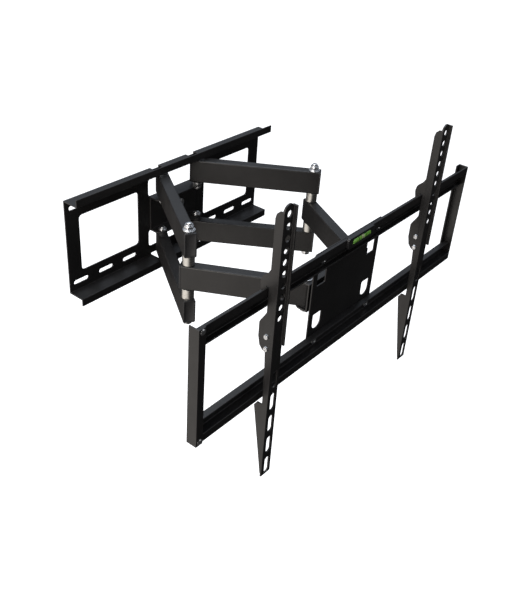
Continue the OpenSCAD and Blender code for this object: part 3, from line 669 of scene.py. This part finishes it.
class MOUNT_OT_fasteners(bpy.types.Operator):
    """Pivot bolts, tilt bolt, frame bolts, their nuts and washers"""
    bl_idname = "mount.fasteners"
    bl_label = "Bolts and Nuts"

    def execute(self, context):
        sizes = context.scene.mount_sizes
        look = finishes()
        self.metal = [look["zinc"], look["insert"]]
        self.radius = sizes.pivot_bolt / 2
        self.pitch = sizes.thread_pitch
        self.elbow_fasteners()
        self.wall_fasteners()
        self.head_fasteners()
        self.tilt_fasteners()
        self.frame_fasteners()
        for node in CAD_FASTENERS:
            eased_copy(node, 0.15 * MM, [look["zinc"]])
        return {"FINISHED"}

    def piece(self, node, bm):
        smooth_by_angle(bm, math.radians(32))
        return new_piece(node + "_piece", bm, self.metal, BODY_OF[node], [node])

    def elbow_fasteners(self):
        head = 0.6 * 2 * self.radius
        flats = 1.6 * 2 * self.radius
        hole = self.radius * SLACK_HOLE
        wide, wider = self.radius + 4 * MM, self.radius + 5 * MM
        for side in ("left", "right"):
            low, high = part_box(side + "_elbow_bolt")
            nut_low, nut_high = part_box(side + "_elbow_nut")
            x, y = plan_of((low, high))
            foot = low.z + WASHER_T + head
            bm = bmesh.new()
            bolt(bm, Matrix.Translation((x, y, foot)), self.radius, high.z - foot, flats,
                 head, high.z - nut_low.z, self.pitch, (wide, WASHER_T))
            self.piece(side + "_elbow_bolt", bm)
            bm = bmesh.new()
            seat = Matrix.Translation((x, y, nut_low.z))
            washer_ring(bm, seat, wider, hole, WASHER_T)
            washer_ring(bm, seat @ Matrix.Translation((0, 0, WASHER_T)), wide, hole, WASHER_T)
            locking_nut(bm, seat @ Matrix.Translation((0, 0, 2 * WASHER_T)), flats, hole,
                        nut_high.z - nut_low.z - 2 * WASHER_T)
            self.piece(side + "_elbow_nut", bm)

    def wall_fasteners(self):
        """A short bolt at the outer end of each tube, with its nut inside the pivot bracket."""
        low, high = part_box("wall_bolts")
        nut_low, nut_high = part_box("wall_lock_nuts")
        flats = high.y - low.y
        nut_flats = nut_high.y - nut_low.y
        past = 1.5 * MM                  # a bolt's tip beyond its nut
        tip = 10 * MM                    # length of the thread
        seat_z, shelf = high.z - PIVOT_HEAD, nut_high.z
        bolts, nuts = bmesh.new(), bmesh.new()
        for side in ("left", "right"):
            pivot = PIVOTS[side + "_wall_pivot"]
            for sign in (-1, 1):
                seat = facing((pivot.x, pivot.y, sign * seat_z), UP * -sign)
                bolt(bolts, seat, self.radius, seat_z - shelf + WALL_NUT_T + past, flats,
                     PIVOT_HEAD, tip, self.pitch)
                seat = facing((pivot.x, pivot.y, sign * shelf), UP * -sign)
                locking_nut(nuts, seat, nut_flats, self.radius * SLACK_HOLE, WALL_NUT_T)
        self.piece("wall_bolts", bolts)
        self.piece("wall_lock_nuts", nuts)
        self.bracket_fasteners()

    def bracket_fasteners(self):
        low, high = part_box("bracket_bolts")
        flats = high.z - low.z
        corner = flats / 2 / math.cos(math.pi / 6)
        tip = 3.5 * MM
        bm = bmesh.new()
        for x in (low.x + corner, high.x - corner):
            seat = facing((x, low.y + BRACKET_HEAD, 0), (0, 1, 0))
            bolt(bm, seat, BRACKET_BOLT_R, high.y - low.y - BRACKET_HEAD, flats,
                 BRACKET_HEAD, tip, self.pitch)
        self.piece("bracket_bolts", bm)

    def head_fasteners(self):
        low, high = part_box("head_bolts")
        nut_low, nut_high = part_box("head_nuts")
        flats = 1.6 * 2 * self.radius - 1 * MM
        wide = self.radius + 4 * MM
        hole = self.radius * SLACK_HOLE
        tip = 14 * MM
        bolts, nuts = bmesh.new(), bmesh.new()
        for sign in (1, -1):
            pivot = head_pivot(sign)
            top = high.z - PIVOT_HEAD - WASHER_T
            seat = facing((pivot.x, pivot.y, top), -UP)
            bolt(bolts, seat, self.radius, top - low.z, flats, PIVOT_HEAD, tip,
                 self.pitch, (wide, WASHER_T))
            seat = facing((pivot.x, pivot.y, nut_high.z), -UP)
            washer_ring(nuts, seat, wide, hole, WASHER_T)
            locking_nut(nuts, seat @ Matrix.Translation((0, 0, WASHER_T)), flats, hole,
                        nut_high.z - nut_low.z - WASHER_T)
        self.piece("head_bolts", bolts)
        self.piece("head_nuts", nuts)

    def tilt_fasteners(self):
        low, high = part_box("tilt_bolt")
        nut_low, nut_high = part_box("tilt_nut")
        axis = PIVOTS["tilt"]
        flats = high.y - low.y
        tip, pitch = 9 * MM, 1 * MM
        bm = bmesh.new()
        bolt(bm, facing((low.x + TILT_HEAD, axis.y, axis.z), (1, 0, 0)), TILT_BOLT_R,
             high.x - low.x - TILT_HEAD, flats, TILT_HEAD, tip, pitch)
        self.piece("tilt_bolt", bm)
        bm = bmesh.new()
        locking_nut(bm, facing((nut_low.x, axis.y, axis.z), (1, 0, 0)), flats,
                    TILT_BOLT_R * SLACK_HOLE, nut_high.x - nut_low.x)
        self.piece("tilt_nut", bm)

    def frame_fasteners(self):
        """Round headed bolts with a round socket, and plain nuts behind the tilt plate."""
        low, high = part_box("frame_bolts")
        nut_low, nut_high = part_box("frame_nuts")
        face = low.y + FRAME_HEAD
        rim = 0.9 * MM
        socket_r, socket_floor = 2.0 * MM, 1.6 * MM
        head_r, shank_r, flats = FRAME_HEAD_R, FRAME_BOLT_R, 10 * MM
        bolts, nuts = bmesh.new(), bmesh.new()
        for x in (low.x + head_r, high.x - head_r):
            for z in (low.z + head_r, high.z - head_r):
                seat = facing((x, face, z), (0, -1, 0))
                dome = [(head_r * math.cos(t), rim + (FRAME_HEAD - rim) * math.sin(t))
                        for t in (math.pi / 2 * i / 8 for i in range(7))]
                turned(bolts, [(shank_r, face - high.y), (shank_r, 0), (head_r, 0)] + dome
                       + [(socket_r, 3.55 * MM), (socket_r, socket_floor)], seat)
                seat = facing((x, nut_low.y, z), (0, 1, 0))
                hexagon_head(nuts, seat, flats, 0.02 * flats, nut_high.y - nut_low.y,
                             shank_r * SLACK_HOLE)
        self.piece("frame_bolts", bolts)
        self.piece("frame_nuts", nuts)


class MOUNT_OT_level(bpy.types.Operator):
    """Level on the top rail: housing, liquid, bubble and marks"""
    bl_idname = "mount.level"
    bl_label = "Level"

    def execute(self, context):
        edge = context.scene.mount_sizes.moulded_edge
        eased_copy("level_housing", edge, [finishes()["housing"]])
        build_vial(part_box("level_vial"))
        return {"FINISHED"}


class MOUNT_OT_stage(bpy.types.Operator):
    """Floor, lights and camera"""
    bl_idname = "mount.stage"
    bl_label = "Stage"

    def execute(self, context):
        stage = context.scene.mount_stage
        self.floor(CAD_BOX[0][2] - stage.floor_drop)
        self.world(context)
        self.lights()
        self.camera(context, stage)
        context.scene.view_settings.view_transform = "Standard"
        return {"FINISHED"}

    def floor(self, z):
        half = 8.0
        bm = bmesh.new()
        bm.faces.new([bm.verts.new((x, y, z)) for x, y in ((-half, -half), (half, -half), (half, half),
                                                            (-half, half))])
        mesh = bpy.data.meshes.new("floor")
        bm.to_mesh(mesh)
        bm.free()
        mesh.materials.append(pale_floor("pale_floor"))
        floor = bpy.data.objects.new("floor", mesh)
        bpy.context.scene.collection.objects.link(floor)
        floor.visible_glossy = False
        floor.visible_diffuse = False

    def world(self, context):
        """Soft light: warm on the left, cool from above, dim in front and on the right."""
        world = bpy.data.worlds.new("soft_studio")
        world.use_nodes = True
        tree = world.node_tree
        back = tree.nodes["Background"]
        way = tree.nodes.new("ShaderNodeTexCoord").outputs["Generated"]
        warm = self.glow(tree, way, (-0.94, 0.28, -0.20), (1.0, 0.94, 0.88), 0.10, 1.0)
        cool = self.glow(tree, way, (0.30, 0.25, 0.92), (0.80, 0.88, 1.0), 0.30, 0.60)
        add = tree.nodes.new("ShaderNodeMix")
        add.data_type = "RGBA"
        add.blend_type = "ADD"
        add.inputs["Factor"].default_value = 1.0
        tree.links.new(warm, add.inputs["A"])
        tree.links.new(cool, add.inputs["B"])
        tree.links.new(add.outputs["Result"], back.inputs["Color"])
        back.inputs["Strength"].default_value = 1.0
        context.scene.world = world

    def glow(self, tree, way, direction, colour, start, strength):
        """Light that grows towards direction, from nothing at start."""
        dot = tree.nodes.new("ShaderNodeVectorMath")
        dot.operation = "DOT_PRODUCT"
        tree.links.new(way, dot.inputs[0])
        dot.inputs[1].default_value = Vector(direction).normalized()
        share = tree.nodes.new("ShaderNodeMapRange")
        share.interpolation_type = "SMOOTHSTEP"
        share.inputs["From Min"].default_value = start
        share.inputs["From Max"].default_value = 0.95
        tree.links.new(dot.outputs["Value"], share.inputs["Value"])
        mix = tree.nodes.new("ShaderNodeMix")
        mix.data_type = "RGBA"
        mix.inputs["A"].default_value = (0.012, 0.012, 0.012, 1)
        mix.inputs["B"].default_value = (*tinted_light(colour, strength), 1)
        tree.links.new(share.outputs["Result"], mix.inputs["Factor"])
        return mix.outputs["Result"]

    def lights(self):
        target = Vector((0, -0.2, 0))
        for name, place, size, power, colour in (
                ("left_softbox", (-1.9, -0.2, 0.9), 1.3, 26, (1.0, 0.96, 0.90)),
                ("top_softbox", (0.3, 0.3, 1.9), 1.2, 14, (0.90, 0.95, 1.0)),
                ("front_fill", (0.9, -2.2, 0.7), 1.4, 4, (1.0, 1.0, 1.0))):
            data = bpy.data.lights.new(name, "AREA")
            data.shape = "SQUARE"
            data.size = size
            data.energy = power
            data.color = colour
            light = bpy.data.objects.new(name, data)
            bpy.context.scene.collection.objects.link(light)
            light.location = place
            light.rotation_euler = (Vector(place) - target).to_track_quat("Z", "Y").to_euler()

    def camera(self, context, stage):
        az, el, roll = stage.azimuth, stage.elevation, stage.roll
        right = Vector((math.cos(az), -math.sin(az), 0))
        back = Vector((-math.sin(az) * math.cos(el), -math.cos(az) * math.cos(el), math.sin(el)))
        up = back.cross(right)
        aim = SHOT_AIM + right * 0.02523 - up * 0.08733
        across = right * math.cos(roll) + up * math.sin(roll)
        upward = up * math.cos(roll) - right * math.sin(roll)
        turn = Matrix((across, upward, back)).transposed().to_4x4()
        data = bpy.data.cameras.new("camera")
        data.lens = stage.lens
        data.sensor_width = 36
        data.shift_x = -0.0045
        data.clip_end = 50
        camera = bpy.data.objects.new("camera", data)
        bpy.context.scene.collection.objects.link(camera)
        camera.matrix_world = Matrix.Translation(aim + back * stage.distance) @ turn
        context.scene.camera = camera


def tinted_light(colour, strength):
    return tuple(c * strength for c in colour)


class MOUNT_PT_panel(bpy.types.Panel):
    """Sizes, finishes and build steps of the wall mount"""
    bl_idname = "MOUNT_PT_panel"
    bl_label = "Wall Mount"
    bl_space_type = "VIEW_3D"
    bl_region_type = "UI"
    bl_category = "Wall Mount"

    def draw(self, context):
        scene = context.scene
        for group in (scene.mount_sizes, scene.mount_finish, scene.mount_stage):
            box = self.layout.box()
            for key in group.__annotations__:
                box.prop(group, key)
        for operator in OPERATORS:
            self.layout.operator(operator.bl_idname)


OPERATORS = (MOUNT_OT_pressed_sheets, MOUNT_OT_arm_tubes, MOUNT_OT_spacers_and_bushes,
             MOUNT_OT_fasteners, MOUNT_OT_level, MOUNT_OT_stage)
GROUPS = {"mount_sizes": MountSizes, "mount_finish": MountFinish, "mount_stage": MountStage}


def register():
    for cls in (*GROUPS.values(), *OPERATORS, MOUNT_PT_panel):
        bpy.utils.register_class(cls)
    for name, group in GROUPS.items():
        setattr(bpy.types.Scene, name, bpy.props.PointerProperty(type=group))


def unregister():
    for name in GROUPS:
        delattr(bpy.types.Scene, name)
    for cls in reversed((*GROUPS.values(), *OPERATORS, MOUNT_PT_panel)):
        bpy.utils.unregister_class(cls)


def main():
    register()
    bpy.ops.mount.pressed_sheets()
    bpy.ops.mount.arm_tubes()
    bpy.ops.mount.spacers_and_bushes()
    bpy.ops.mount.fasteners()
    bpy.ops.mount.level()
    bpy.ops.mount.stage()


if __name__ == "__main__":
    main()
